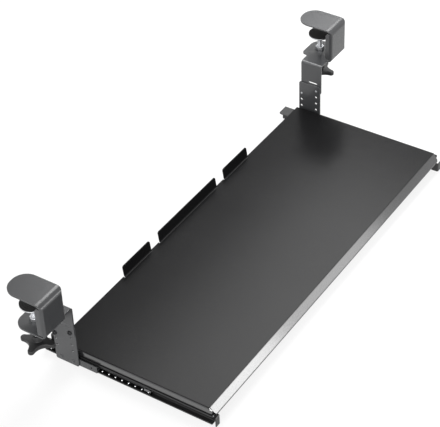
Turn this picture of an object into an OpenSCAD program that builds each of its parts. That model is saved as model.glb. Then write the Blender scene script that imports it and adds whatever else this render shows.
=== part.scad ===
/* [Tray] */
// Width of the tray
tray_w = 680; // [520:5:900]
// Depth of the tray's flat top, bevel to rear edge
tray_d = 262; // [220:1:320]
// Thickness of the tray's steel sheet
tray_sheet = 1.5; // [1:0.1:2]
// Height of the folded side flanges
side_flange_h = 9.5; // [6:0.5:10]
// Outer radius of the side folds
side_bend_r = 2.5; // [2.2:0.1:4]
// How far the bevelled front lip runs towards the user
bevel_run = 10; // [8:0.5:11]
// How far the bevelled front lip drops
bevel_drop = 10; // [8:0.5:11]
// Height of the upright edge under the bevel
lip_h = 1.5; // [1.5:0.1:2]
// Radius of the bevel's lower corners
bevel_corner_r = 6; // [2:0.5:9]
// Outer radius of the bevel's two bends
bevel_bend_r = 2.5; // [2:0.1:2.8]

/* [Rear tabs] */
// Width of the long middle tab
centre_tab_w = 162; // [80:1:200]
// Width of each short tab
side_tab_w = 71; // [40:1:90]
// Gap between two tabs
tab_gap = 23; // [10:1:40]
// Height of the tabs above the tray
tab_h = 18.5; // [12:0.5:30]
// Backward lean of the tabs in degrees
tab_lean = 8; // [0:1:20]
// Radius of the tabs' upper corners
tab_corner_r = 3.5; // [1:0.5:6]
// Inner radius of the tabs' fold
tab_bend_r = 2; // [1:0.5:4]

/* [Tray rails] */
// Distance from the tray's edge to the slide's back
rail_inset = 7.5; // [6:0.5:12]
// Thickness of the rail's sheet
rail_sheet = 1.5; // [1:0.1:2]
// Width of the rail's flange under the tray
rail_flange_w = 34; // [28:1:50]
// Width of the rail's narrow tail
rail_tail_w = 24; // [18:1:26]
// How far the tail stands out behind the tray
rail_tail_out = 19; // [8:1:24]
// How far the rail's end plate stands ahead of the bevel line
rail_nose = 13; // [12:0.5:16]

/* [Ball slides] */
// Whole thickness of a slide
slide_t = 12.5; // [12:0.5:16]
// Length of the channel on the tray
channel_len = 293; // [260:1:330]
// Height of the channel
channel_h = 17; // [17:0.5:20]
// Depth of the channel
channel_d = 9; // [9:0.1:10]
// Thickness of the channel's sheet
channel_sheet = 1.2; // [1:0.1:1.4]
// Distance from the tray's top to the slide's middle
channel_drop = 19.5; // [19:0.5:24]
// Distance from the bevel line forward to the channel's front end
channel_front = 6; // [2:0.5:7]
// Length of the channel left behind the desk's edge, tray pulled out
channel_hold = 62; // [58:1:70]
// Length of the runner on each hanging bracket
runner_len = 72; // [60:1:90]
// Height of the runner's face
runner_h = 12; // [11:0.5:14]
// Thickness of the runner's sheet
runner_sheet = 1.5; // [1.2:0.1:1.8]
// How far the runner's front end stands ahead of the desk's edge
runner_out = 35; // [25:1:45]
// Diameter of the bearing balls
ball_d = 3.2; // [2.8:0.1:3.4]
// Distance between neighbouring balls
ball_pitch = 11.6; // [8:0.1:11.6]
// Number of balls in a row
balls_per_row = 16; // [8:1:16]
// Running clearance of the balls on each race
race_gap = 0.3; // [0.2:0.05:0.4]

/* [Hanging brackets] */
// Width of the bracket plate
bracket_w = 41; // [38:1:60]
// Thickness of the bracket plate
bracket_t = 2; // [1.5:0.1:3]
// Position of the bracket's front edge behind the desk's edge
bracket_front = -4; // [-10:0.5:2]
// Distance between the two columns of height holes
hole_span = 28.5; // [20:0.5:30]
// Position of the front column behind the desk's edge
hole_front = 4; // [2:0.5:5]
// Distance between two height holes
hole_pitch = 12.7; // [10:0.1:14]
// Number of height holes in the front column, one more than in the rear one
hole_rows = 4; // [3:1:4]
// Diameter of the height holes
hole_d = 4.2; // [4.1:0.1:5]
// Distance from the top holes down to the slide's middle
bracket_drop = 58.8; // [54:0.1:75]
// Which row of holes is bolted, counted from the top
height_setting = 0; // [0:1:2]

/* [Clamps] */
// Width of the clamp
clamp_w = 49.5; // [44:0.5:70]
// Thickness of the clamp's plate
clamp_t = 2.5; // [2:0.1:3]
// Distance from the hanging plate to the clamp's side
clamp_neck = 19.5; // [14:0.5:40]
// Depth of the clamp's side flanges, up to the desk's edge
flange_depth = 11.4; // [10.6:0.2:16]
// Outer radius of the bend into the top plate
top_bend_r = 10; // [6:0.5:10]
// Outer radius of the other bends
small_bend_r = 5; // [3.5:0.5:6]
// How far the top plate reaches over the desk
top_reach = 58.6; // [54:0.2:80]
// Radius of the top plate's rear corners
top_corner_r = 23; // [10:0.5:24]
// How far the lower jaw reaches under the desk
jaw_reach = 46; // [44:0.5:60]
// Radius of the lower jaw's rear corners
jaw_corner_r = 20; // [6:0.5:22]
// Opening between the top pad and the lower jaw
jaw_open = 54.4; // [50:0.2:70]
// Width of the hanging plate
hang_w = 38.5; // [38:0.5:46]
// Position of the hanging plate's front edge behind the desk's edge
hang_front = -4.5; // [-6.5:0.5:-3]
// Distance from the lower jaw down to the upper screw
hang_drop = 52.1; // [46:0.1:60]
// Length of the slot in the hanging plate
slot_len = 17; // [8:0.5:24]
// Height of the slot in the hanging plate
slot_h = 3.8; // [2:0.1:3.8]
// Thickness of the pad under the top plate
top_pad_t = 1.5; // [1:0.1:3]
// Margin of the pad inside the top plate's outline
top_pad_margin = 2; // [1:0.5:4]

/* [Clamp screws] */
// Thickness of the desk that the clamps are set to
desk_t = 22; // [15:0.5:30]
// Distance from the desk's edge to the screw
screw_back = 25; // [22:0.5:26]
// Diameter of the clamp screw
screw_d = 7.9; // [6:0.1:9]
// Radial clearance of the screw in its nut and plate
screw_gap = 0.05; // [0.03:0.01:0.1]
// Length of the screw below the pressure plate
screw_len = 68; // [64:1:80]
// Width across the flats of the weld nut
nut_flats = 13; // [12:0.5:15]
// Height of the weld nut
nut_h = 6.5; // [4:0.5:7]
// Diameter of the pressure plate
plate_d = 38; // [24:1:40]
// Thickness of the pressure plate's disc
plate_t = 2; // [1.5:0.1:3]
// Thickness of the rubber on the pressure plate
plate_pad_t = 1.5; // [1:0.1:3]
// Radius from the knob's middle to a lobe's tip
knob_r = 27; // [22:0.5:30]
// Radius of a lobe's tip
lobe_r = 5; // [4:0.5:7]
// Radius from the knob's middle to the hollow between two lobes
knob_waist = 14.5; // [12:0.5:15]
// Height of the knob's lobes
knob_h = 8; // [6:0.5:12]
// Diameter of the knob's hub
hub_d = 15; // [12:0.5:20]
// Height of the hub above the lobes
hub_h = 8.5; // [3:0.5:10]

/* [Fasteners] */
// Diameter of the bracket screws and rail studs
m4_d = 4; // [3:0.1:4]
// Diameter of the rivets' shanks
rivet_d = 3; // [2.5:0.1:3.4]
// Clearance between a shank and its hole, on the diameter
shank_gap = 0.2; // [0.1:0.05:0.4]
// Height of a pan head
pan_h = 2.4; // [1.5:0.1:3]
// Diameter of a pan head
pan_d = 7.5; // [6:0.1:8]

/* [Hidden] */
$fn = 64;
eps = 0.01;

// Finishes
tray_black = [0.13, 0.13, 0.14];
clamp_grey = [0.22, 0.22, 0.23];
slide_black = [0.08, 0.08, 0.09];
knob_black = [0.05, 0.05, 0.05];
foam_black = [0.10, 0.10, 0.10];
zinc = [0.70, 0.71, 0.72];
bright_steel = [0.85, 0.86, 0.88];

// Heights, with the desk's top at zero
jaw_top = -jaw_open;
jaw_bottom = jaw_top - clamp_t;
top_plate_z = top_pad_t + clamp_t;
upper_screw_z = jaw_top - hang_drop;
slide_z = upper_screw_z - bracket_drop + height_setting * hole_pitch;
tray_z = slide_z + channel_drop;
plate_pad_z = -desk_t;
plate_z = plate_pad_z - plate_pad_t;

// Depths, with the desk's front edge at zero
channel_y = channel_hold - channel_len;
tray_front = channel_y + channel_front;
tray_rear = tray_front + tray_d;
wall_y = -flange_depth;
runner_y = -runner_out;

// Widths, on the right-hand side
rail_x = tray_w / 2 - rail_inset;
bracket_x = rail_x + slide_t;
hang_x = bracket_x + bracket_t;
clamp_x = hang_x + clamp_t + clamp_neck;
screw_x = clamp_x + clamp_w / 2;

rivet_hole = rivet_d + shank_gap;
fold_leg = 1;

// The left side is the right side's mirror image
module left_hand() {
    mirror([1, 0, 0]) children();
}

module both_sides() {
    children();
    left_hand() children();
}

// Extrudes a plan outline from height z up by h
module plan(z, h) {
    translate([0, 0, z]) linear_extrude(h) children();
}

// Extrudes an outline drawn in depth and height along the width, from x by w
module side_view(x, w) {
    translate([x, 0, 0]) rotate([90, 0, 90]) linear_extrude(w) children();
}

// Extrudes an outline drawn in width and height along the depth, from y by d
module front_view(y, d) {
    translate([0, y + d, 0]) rotate([90, 0, 0]) linear_extrude(d) children();
}

// Section of a folded sheet: a quarter ring in the first quadrant, with a short leg at each end
module fold(r, t) {
    difference() {
        translate([-fold_leg, -fold_leg]) rounded(r + fold_leg, r + fold_leg, [0, 0, r, 0]);
        translate([-2 * fold_leg, -2 * fold_leg])
            rounded(r - t + 2 * fold_leg, r - t + 2 * fold_leg, [0, 0, r - t, 0]);
    }
}

// Rectangle with four corner radii, from its lower left corner, anticlockwise
module rounded(w, h, r) {
    at = [[0, 0], [w, 0], [w, h], [0, h]];
    difference() {
        square([w, h]);
        for (i = [0:3]) if (r[i] > 0) corner_cut(at[i], r[i], i * 90);
    }
}

// The waste outside a corner radius
module corner_cut(at, r, turn) {
    translate(at) rotate(turn) difference() {
        translate([-1, -1]) square(r + 1);
        translate([r, r]) circle(r);
    }
}

// Round bar along the width, from x by w
module cross_bar(x, y, z, d, w) {
    translate([x, y, z]) rotate([0, 90, 0]) cylinder(d = d, h = w);
}

// Tray
side_flange_lead = 6;
side_flange_tail = 10;
flange_end_r = 4;
corner_slit = 1;
bevel_half = tray_w / 2 - side_bend_r - corner_slit;
bevel_slope = atan2(bevel_drop, bevel_run);
bevel_lap = 2 * bevel_bend_r;
bend_ease = 0.02;
tab_relief = 1.5;
tab_fold_y = tray_rear - tab_bend_r - tray_sheet;

module tray() {
    side_tab_x = centre_tab_w / 2 + tab_gap;
    color(tray_black) translate([0, 0, tray_z]) union() {
        plan(-tray_sheet, tray_sheet) difference() {
            translate([-tray_w / 2 + side_bend_r, tray_front]) square([tray_w - 2 * side_bend_r, tray_d]);
            tab_notch(-centre_tab_w / 2, centre_tab_w);
            tab_notch(side_tab_x, side_tab_w);
            tab_notch(-side_tab_x - side_tab_w, side_tab_w);
        }
        both_sides() tray_side();
        intersection() {
            side_view(-bevel_half, 2 * bevel_half) translate([tray_front, 0]) bevel_section();
            front_view(tray_front - bevel_run - 1, bevel_run + 1 + bevel_lap)
                translate([-bevel_half, -bevel_drop - lip_h])
                    rounded(2 * bevel_half, bevel_drop + lip_h, [bevel_corner_r, bevel_corner_r, 0, 0]);
        }
        rear_tab(-centre_tab_w / 2, centre_tab_w);
        both_sides() rear_tab(side_tab_x, side_tab_w);
    }
}

// Cut-out of the flat sheet behind a tab's fold, a little wider than the tab
module tab_notch(x, w) {
    translate([x - tab_relief, tab_fold_y]) square([w + 2 * tab_relief, tray_d]);
}

// Folded side of the tray, with a flange that reaches past the bevel line
module tray_side() {
    long = tray_d - side_flange_tail;
    front_view(tray_front, long) translate([tray_w / 2 - side_bend_r, -side_bend_r])
        fold(side_bend_r, tray_sheet);
    side_view(tray_w / 2 - tray_sheet, tray_sheet)
        translate([tray_front - side_flange_lead, -side_flange_h])
            rounded(long + side_flange_lead, side_flange_h - side_bend_r,
                [flange_end_r, flange_end_r, 0, 0]);
}

// Flat sheet, bevel and upright edge as one folded strip, from the bevel line
module bevel_section() {
    difference() {
        bevel_outline(0);
        bevel_outline(tray_sheet);
    }
}

// Everything behind the strip's surface, or behind a surface that far inside it
module bevel_outline(inside) {
    r = bevel_bend_r;
    lip_turn = 90 - bevel_slope;
    top_turn = tan(bevel_slope / 2);
    low_turn = tan(lip_turn / 2);
    tip = inside - bevel_run;
    low = -bevel_drop - lip_h - inside;
    back = bevel_lap + inside;
    difference() {
        polygon([
            [back, -inside],
            [inside * top_turn, -inside],
            [tip, -bevel_drop - inside * low_turn],
            [tip, low],
            [back, low]
        ]);
        bend_cut([r * top_turn, -r], r - inside, 90, bevel_slope);
        bend_cut([r - bevel_run, -bevel_drop - r * low_turn], r - inside, 90 + bevel_slope, lip_turn);
    }
}

// The waste outside a bend, from one angle round by a turn
module bend_cut(centre, r, from, turn) {
    reach = 2 * r;
    translate(centre) difference() {
        polygon([
            [0, 0],
            reach * [cos(from), sin(from)],
            reach * [cos(from + turn / 2), sin(from + turn / 2)],
            reach * [cos(from + turn), sin(from + turn)]
        ]);
        circle(r + bend_ease);
    }
}

// Tab folded up from the rear edge, from x by w
module rear_tab(x, w) {
    intersection() {
        side_view(x, w) translate([tab_fold_y, tab_bend_r]) tab_section();
        front_view(tray_rear - tab_h, 2 * tab_h) translate([x, -tray_sheet])
            rounded(w, tab_h + tray_sheet, [0, 0, tab_corner_r, tab_corner_r]);
    }
}

module tab_section() {
    r = tab_bend_r + tray_sheet;
    translate([-tray_sheet, -r]) square([tray_sheet, tray_sheet]);
    intersection() {
        difference() {
            circle(r);
            circle(tab_bend_r);
        }
        polygon([[0, 0], [0, -2 * r], [2 * r, -2 * r], 2 * r * [cos(tab_lean), -sin(tab_lean)]]);
    }
    rotate(-tab_lean) translate([tab_bend_r, 0]) square([tray_sheet, tab_h + r]);
}

// Tray rails: bent strips that carry the slides under the tray's ends
rail_bend_r = 2.5;
rail_skirt = 0.8;
rail_top = tray_z - tray_sheet;
rail_bottom = slide_z - channel_h / 2 - rail_skirt;
rail_lead = 12;
rail_start = tray_front + rail_lead;
waist_inset = 6;
rail_waist = tray_rear - waist_inset;
waist_r = 0.8 * (rail_flange_w - rail_tail_w);
tail_r = 4;
nose_gap = 1.5;
nose_top = tray_z - bevel_drop - lip_h - nose_gap;
nose_y = tray_front - rail_nose;
stud_inset = 17;
stud_margin = 26;
stud_ys = [for (i = [0:2]) rail_start + stud_margin + i * (rail_waist - rail_start - 2 * stud_margin) / 2];
channel_rivet_margin = 5;
channel_rivet_ys = [for (i = [0:2]) channel_y + channel_rivet_margin
    + i * (channel_len / 2 - 1.5 * channel_rivet_margin)];

module tray_rail() {
    difference() {
        union() {
            plan(rail_top - rail_sheet, rail_sheet) rail_outline();
            front_view(rail_start, tray_rear + rail_tail_out - rail_start)
                translate([rail_x - rail_bend_r, rail_top - rail_bend_r]) fold(rail_bend_r, rail_sheet);
            side_view(rail_x - rail_sheet, rail_sheet) rail_web();
            plan(rail_bottom, nose_top - rail_bottom) nose_section();
        }
        for (y = stud_ys) translate([rail_x - stud_inset, y, rail_top - 2 * rail_sheet])
            cylinder(d = m4_d + shank_gap, h = 3 * rail_sheet);
        for (y = channel_rivet_ys)
            cross_bar(rail_x - 2 * rail_sheet, y, slide_z, rivet_hole, 3 * rail_sheet);
    }
}

// Flange under the tray, narrowed to a round-cornered tail
module rail_outline() {
    fold_x = rail_x - rail_bend_r;
    wide_x = rail_x - rail_flange_w;
    slim_x = rail_x - rail_tail_w;
    tail_end = tray_rear + rail_tail_out;
    fillet_at = [slim_x - waist_r, rail_waist + waist_r];
    difference() {
        polygon([
            [wide_x, rail_start],
            [fold_x, rail_start],
            [fold_x, tail_end],
            [slim_x, tail_end],
            [slim_x, fillet_at[1]],
            fillet_at,
            [fillet_at[0], rail_waist],
            [wide_x, rail_waist]
        ]);
        translate(fillet_at) circle(waist_r);
        corner_cut([wide_x, rail_start], tail_r, 0);
        corner_cut([slim_x, tail_end], tail_r, 270);
    }
}

// Upright web, cut low at the front to pass under the bevel
module rail_web() {
    polygon([
        [nose_y + rail_bend_r, rail_bottom],
        [channel_hold, rail_bottom],
        [channel_hold, nose_top],
        [tray_rear + rail_tail_out, nose_top],
        [tray_rear + rail_tail_out, rail_top - rail_bend_r],
        [rail_start, rail_top - rail_bend_r],
        [rail_start, nose_top],
        [nose_y + rail_bend_r, nose_top]
    ]);
}

// End plate folded outwards across the channel's front end
module nose_section() {
    translate([rail_x - rail_sheet + rail_bend_r, nose_y + rail_bend_r])
        rotate(180) fold(rail_bend_r, rail_sheet);
    translate([rail_x - rail_sheet + rail_bend_r, nose_y])
        square([channel_d + rail_sheet - rail_bend_r, rail_sheet]);
}

module left_tray_rail() {
    color(slide_black) left_hand() tray_rail();
}

module right_tray_rail() {
    color(slide_black) tray_rail();
}

module rail_studs() {
    stud_len = 9;
    color(zinc) both_sides() for (y = stud_ys)
        translate([rail_x - stud_inset, y, rail_top - stud_len]) cylinder(d = m4_d, h = stud_len);
}

module rail_nuts() {
    flats = 7;
    nut = 3.2;
    color(zinc) both_sides() for (y = stud_ys)
        translate([rail_x - stud_inset, y, rail_top - rail_sheet - nut]) difference() {
            cylinder(d = flats / cos(30), h = nut, $fn = 6);
            translate([0, 0, -1]) cylinder(d = m4_d + shank_gap, h = nut + 2);
        }
}

// Ball slides, drawn in section: across the slide from the rail, and up from its middle
lip_curl = 0.9;
channel_bend_r = 2.4;
race_out = channel_h / 2 - channel_sheet;
ball_v = race_out - race_gap - ball_d / 2;
race_in = ball_v - ball_d / 2 - race_gap;
cage_sheet = 0.8;
cage_ear_t = 1;
rivet_head_h = 0.6;
cage_back = channel_sheet + rivet_head_h + race_gap;
runner_tip = cage_back + cage_sheet + race_gap;
runner_wing_t = 1.2;
ear_overhang = 0.2;
cage_reach = channel_d - lip_curl + ear_overhang;
ball_u = (runner_tip + channel_d - lip_curl) / 2;
cage_end = 5.5;
cage_len = (balls_per_row - 1) * ball_pitch + 2 * cage_end;
cage_rear_gap = 0.5;
stop_len = 3;
cage_y = channel_hold - stop_len - cage_rear_gap - cage_len;

// Carries a slide section along the depth, from y by d
module slide_part(y, d) {
    front_view(y, d) translate([rail_x, slide_z]) children();
}

module upper_and_lower() {
    children();
    mirror([0, 1]) children();
}

// C section with rolled lips
module channel_section() {
    half = channel_h / 2;
    translate([0, -half + channel_bend_r]) square([channel_sheet, channel_h - 2 * channel_bend_r]);
    upper_and_lower() {
        translate([channel_bend_r, half - channel_bend_r]) rotate(90) fold(channel_bend_r, channel_sheet);
        translate([channel_bend_r, race_out]) square([channel_d - channel_bend_r, channel_sheet]);
        translate([channel_d - lip_curl, race_out - lip_curl]) square(lip_curl + eps);
    }
}

module channel() {
    difference() {
        slide_part(channel_y, channel_len) channel_section();
        for (y = channel_rivet_ys) cross_bar(rail_x - 1, y, slide_z, rivet_hole, channel_sheet + 2);
    }
}

module left_channel() {
    color(slide_black) left_hand() channel();
}

module right_channel() {
    color(slide_black) channel();
}

// Flat-headed rivets through the channel and the rail
module channel_rivets() {
    head_d = 6;
    grip = rail_sheet + channel_sheet;
    color(zinc) both_sides() for (y = channel_rivet_ys) {
        cross_bar(rail_x - rail_sheet, y, slide_z, rivet_d, grip);
        cross_bar(rail_x + channel_sheet, y, slide_z, head_d, rivet_head_h);
        cross_bar(rail_x - rail_sheet - rivet_head_h, y, slide_z, head_d, rivet_head_h);
    }
}

// Moulded stops in the channels' rear ends
module slide_stops() {
    color(knob_black) both_sides() slide_part(channel_hold - stop_len, stop_len)
        translate([channel_sheet, -race_out + channel_bend_r])
            square([channel_d - lip_curl - channel_sheet, 2 * (race_out - channel_bend_r)]);
}

// Bent strip that spaces the balls, with an end block between the runner's wings
module ball_cage() {
    block_len = 11;
    block_half = race_in - runner_wing_t - race_gap;
    ear_low = ball_v - cage_ear_t / 2;
    difference() {
        union() {
            slide_part(cage_y, cage_len) upper_and_lower() {
                translate([cage_back, 0]) square([cage_sheet, ear_low + cage_ear_t]);
                translate([cage_back, ear_low]) square([cage_reach - cage_back, cage_ear_t]);
            }
            slide_part(cage_y, block_len) translate([cage_back, -block_half])
                square([cage_reach - cage_back, 2 * block_half]);
        }
        for (y = ball_ys) translate([rail_x + ball_u, y, slide_z - channel_h / 2])
            cylinder(d = ball_d + race_gap, h = channel_h);
    }
}

ball_ys = [for (i = [0:balls_per_row - 1]) cage_y + cage_end + i * ball_pitch];

module balls() {
    for (y = ball_ys, v = [-ball_v, ball_v])
        translate([rail_x + ball_u, y, slide_z + v]) sphere(d = ball_d);
}

module left_ball_cage() {
    color(zinc) left_hand() ball_cage();
}

module right_ball_cage() {
    color(zinc) ball_cage();
}

module left_balls() {
    color(bright_steel) left_hand() balls();
}

module right_balls() {
    color(bright_steel) balls();
}

// Runners: channels with two wings that the balls run on
runner_rivet_inset = 10;
runner_rivet_ys = [bracket_front + runner_rivet_inset, runner_y + runner_len - runner_rivet_inset];
runner_hole_lead = 10;

module runner_section() {
    face = slide_t - runner_sheet;
    half = runner_h / 2;
    wing = race_in - runner_wing_t;
    polygon([
        [slide_t, -half],
        [slide_t, half],
        [face, half],
        [face, race_in],
        [runner_tip, race_in],
        [runner_tip, wing],
        [face, wing],
        [face, -wing],
        [runner_tip, -wing],
        [runner_tip, -race_in],
        [face, -race_in],
        [face, -half]
    ]);
}

module runner() {
    difference() {
        slide_part(runner_y, runner_len) runner_section();
        for (y = concat(runner_rivet_ys, [runner_y + runner_hole_lead]))
            cross_bar(bracket_x - 2 * runner_sheet, y, slide_z, rivet_hole, 3 * runner_sheet);
    }
}

module left_runner() {
    color(clamp_grey) left_hand() runner();
}

module right_runner() {
    color(clamp_grey) runner();
}

module runner_rivets() {
    inner_head = 3.8;
    outer_head = 6;
    color(zinc) both_sides() for (y = runner_rivet_ys) {
        cross_bar(bracket_x - runner_sheet, y, slide_z, rivet_d, runner_sheet + bracket_t);
        cross_bar(bracket_x - runner_sheet - rivet_head_h, y, slide_z, inner_head, rivet_head_h);
        cross_bar(bracket_x + bracket_t, y, slide_z, outer_head, 2 * rivet_head_h);
    }
}

// Height brackets with two columns of holes
bracket_head = 10.2;
bracket_foot = 1.2;
bracket_corner_r = 3;
hole_ys = [hole_front, hole_front + hole_span];
bracket_top = slide_z + bracket_drop + bracket_head;
bracket_bottom = slide_z - runner_h / 2 - bracket_foot;
// The rear column starts a row lower, as its screw sits a row below the front one
hole_at = [for (column = [0, 1], row = [column:hole_rows - 1])
    [hole_ys[column], slide_z + bracket_drop - row * hole_pitch]];

module bracket() {
    tall = bracket_top - bracket_bottom;
    corners = [for (i = [0:3]) bracket_corner_r];
    difference() {
        side_view(bracket_x, bracket_t) translate([bracket_front, bracket_bottom])
            rounded(bracket_w, tall, corners);
        for (at = hole_at) cross_bar(bracket_x - 1, at[0], at[1], hole_d, bracket_t + 2);
        for (y = runner_rivet_ys) cross_bar(bracket_x - 1, y, slide_z, rivet_hole, bracket_t + 2);
    }
}

module left_bracket() {
    color(clamp_grey) left_hand() bracket();
}

module right_bracket() {
    color(clamp_grey) bracket();
}

// Screws at the front column's upper hole and the rear column's next one
bracket_screw_at = [[hole_ys[0], upper_screw_z], [hole_ys[1], upper_screw_z - hole_pitch]];

module bracket_screws() {
    color(knob_black) both_sides() for (at = bracket_screw_at) {
        cross_bar(bracket_x, at[0], at[1], m4_d, bracket_t + clamp_t);
        cross_bar(hang_x + clamp_t, at[0], at[1], pan_d, pan_h);
    }
}

// Clamp bodies: one folded plate each
flange_rise = 3;
flange_top = top_plate_z - top_bend_r + flange_rise;
flange_corner_r = 5;
neck_fillet_r = (jaw_reach - hang_front - hang_w) / 2;
hang_side = hang_x + small_bend_r;
hang_tail = 7.6;
hang_low = upper_screw_z - hole_pitch - hang_tail;
hang_cut_drop = 3.3;
hang_cut_z = upper_screw_z - hang_cut_drop;
hang_cut_y = 28;
slot_drop = 39;
slot_inset = 16;
slot_y = hang_front + slot_inset;

module clamp_body() {
    difference() {
        union() {
            top_plate();
            wall();
            jaw();
            hanging_plate();
        }
        translate([screw_x, screw_back, jaw_bottom - 1]) cylinder(d = screw_d + 1, h = clamp_t + 2);
        for (at = bracket_screw_at) cross_bar(hang_x - 1, at[0], at[1], hole_d, clamp_t + 2);
    }
}

// Round-ended plate over the desk, with its bend down to the wall
module top_plate() {
    deep = top_reach - wall_y;
    intersection() {
        side_view(clamp_x, clamp_w) {
            translate([wall_y + top_bend_r, top_pad_t]) square([deep - top_bend_r, clamp_t]);
            translate([wall_y + top_bend_r, top_plate_z - top_bend_r]) rotate(90) fold(top_bend_r, clamp_t);
        }
        plan(-top_bend_r, 3 * top_bend_r) translate([clamp_x, wall_y])
            rounded(clamp_w, deep, [small_bend_r, small_bend_r, top_corner_r, top_corner_r]);
    }
}

// Front wall with a flange folded back along each side
module wall() {
    base = jaw_bottom + small_bend_r;
    intersection() {
        plan(base, flange_top - base) translate([clamp_x, wall_y]) difference() {
            rounded(clamp_w, flange_depth, [small_bend_r, small_bend_r, 0, 0]);
            translate([clamp_t, clamp_t]) rounded(clamp_w - 2 * clamp_t, flange_depth,
                [small_bend_r - clamp_t, small_bend_r - clamp_t, 0, 0]);
        }
        side_view(clamp_x, clamp_w) difference() {
            translate([wall_y, base]) rounded(flange_depth, flange_top - base, [0, 0, flange_corner_r, 0]);
            translate([wall_y - 1, top_plate_z - top_bend_r]) square([1 + clamp_t, top_bend_r]);
        }
    }
}

// Lower jaw, bent back from the wall, with a neck out to the hanging plate
module jaw() {
    deep = jaw_reach - wall_y;
    neck_y = hang_front + hang_w;
    fillet_at = [clamp_x - neck_fillet_r, neck_y + neck_fillet_r];
    intersection() {
        side_view(clamp_x, clamp_w) {
            translate([wall_y + small_bend_r, jaw_bottom]) square([deep - small_bend_r, clamp_t]);
            translate([wall_y + small_bend_r, jaw_bottom + small_bend_r])
                rotate(180) fold(small_bend_r, clamp_t);
        }
        plan(jaw_bottom - 1, small_bend_r + 2) translate([clamp_x, wall_y])
            rounded(clamp_w, deep, [small_bend_r, small_bend_r, jaw_corner_r, neck_fillet_r]);
    }
    plan(jaw_bottom, clamp_t) difference() {
        polygon([
            [hang_side, hang_front],
            [clamp_x + neck_fillet_r, hang_front],
            [clamp_x + neck_fillet_r, fillet_at[1]],
            fillet_at,
            [fillet_at[0], neck_y],
            [hang_side, neck_y]
        ]);
        translate(fillet_at) circle(neck_fillet_r);
    }
}

// Plate folded down from the jaw's neck, its lower front corner cut off
module hanging_plate() {
    front_view(hang_front, hang_w) translate([hang_side, jaw_top - small_bend_r])
        rotate(90) fold(small_bend_r, clamp_t);
    side_view(hang_x, clamp_t) difference() {
        polygon([
            [hang_front, jaw_top - small_bend_r],
            [hang_front, hang_cut_z],
            [hang_front + hang_cut_y, hang_low],
            [hang_front + hang_w, hang_low],
            [hang_front + hang_w, jaw_top - small_bend_r]
        ]);
        translate([slot_y - slot_len / 2, jaw_top - slot_drop - slot_h / 2])
            rounded(slot_len, slot_h, [for (i = [0:3]) slot_h / 2 - eps]);
    }
}

module left_clamp() {
    color(clamp_grey) left_hand() clamp_body();
}

module right_clamp() {
    color(clamp_grey) clamp_body();
}

pad_corner_r = 1;

module top_pad() {
    m = top_pad_margin;
    r = top_corner_r - m;
    y = wall_y + top_bend_r + m;
    plan(0, top_pad_t) translate([clamp_x + m, y])
        rounded(clamp_w - 2 * m, top_reach - m - y, [pad_corner_r, pad_corner_r, r, r]);
}

module left_top_pad() {
    color(foam_black) left_hand() top_pad();
}

module right_top_pad() {
    color(foam_black) top_pad();
}

// Clamp screws: nut, screw, knob, and a plate with rubber on it
socket_d = 5;
socket_h = 4;
boss_d = 12;
boss_h = 4;
boss_gap = 0.2;
screw_top = plate_z - plate_t - boss_h - boss_gap;
knob_seat = 14;
knob_z = screw_top - screw_len;
left_knob_turn = 78;
right_knob_turn = 2;

module at_screw() {
    translate([screw_x, screw_back, 0]) children();
}

module jaw_nut() {
    at_screw() translate([0, 0, jaw_top]) difference() {
        cylinder(d = nut_flats / cos(30), h = nut_h, $fn = 6);
        translate([0, 0, -1]) cylinder(d = screw_d + 2 * screw_gap, h = nut_h + 2);
    }
}

module left_jaw_nut() {
    color(zinc) left_hand() jaw_nut();
}

module right_jaw_nut() {
    color(zinc) jaw_nut();
}

module clamp_screw() {
    at_screw() {
        translate([0, 0, knob_z]) cylinder(d = screw_d, h = screw_len);
        translate([0, 0, screw_top - eps]) cylinder(d = socket_d, h = socket_h + eps);
    }
}

module left_clamp_screw() {
    color(zinc) left_hand() clamp_screw();
}

module right_clamp_screw() {
    color(zinc) clamp_screw();
}

// Four lobes joined by hollow flanks, each flank an arc that touches two tips
lobes = [0, 90, 180, 270];
half_turn = 45;
lobe_at = knob_r - lobe_r;
hollow = knob_waist - lobe_r;
flank_at = (pow(lobe_at, 2) - pow(hollow, 2)) / 2 / (lobe_at * cos(half_turn) - hollow);
flank_r = flank_at - knob_waist;
touch = atan2(flank_at * sin(half_turn), flank_at * cos(half_turn) - lobe_at);
tip_steps = 16;
flank_steps = 12;

function ray(angle) = [cos(angle), sin(angle)];

module knob_outline() {
    polygon([for (a = lobes) each concat(
        [for (i = [0:tip_steps]) lobe_at * ray(a) + lobe_r * ray(a - touch + 2 * touch * i / tip_steps)],
        [for (i = [1:flank_steps - 1]) flank_at * ray(a + half_turn)
            + flank_r * ray(a + 180 + touch + 2 * (half_turn - touch) * i / flank_steps)])]);
}

module knob(turn) {
    at_screw() translate([0, 0, knob_z]) rotate(turn) difference() {
        union() {
            translate([0, 0, knob_seat - hub_h - knob_h]) linear_extrude(knob_h) knob_outline();
            cylinder(d = hub_d, h = knob_seat);
        }
        cylinder(d = screw_d + 2 * screw_gap, h = knob_seat + 1);
    }
}

module left_knob() {
    color(knob_black) left_hand() knob(left_knob_turn);
}

module right_knob() {
    color(knob_black) knob(right_knob_turn);
}

module pressure_plate() {
    at_screw() translate([0, 0, plate_z - plate_t - boss_h]) difference() {
        union() {
            cylinder(d = boss_d, h = boss_h);
            translate([0, 0, boss_h]) cylinder(d = plate_d, h = plate_t);
        }
        translate([0, 0, -1]) cylinder(d = socket_d + 2 * screw_gap, h = socket_h + 1);
    }
}

module left_pressure_plate() {
    color(zinc) left_hand() pressure_plate();
}

module right_pressure_plate() {
    color(zinc) pressure_plate();
}

module pressure_pad() {
    at_screw() translate([0, 0, plate_z]) cylinder(d = plate_d, h = plate_pad_t);
}

module left_pressure_pad() {
    color(foam_black) left_hand() pressure_pad();
}

module right_pressure_pad() {
    color(foam_black) pressure_pad();
}

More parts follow.
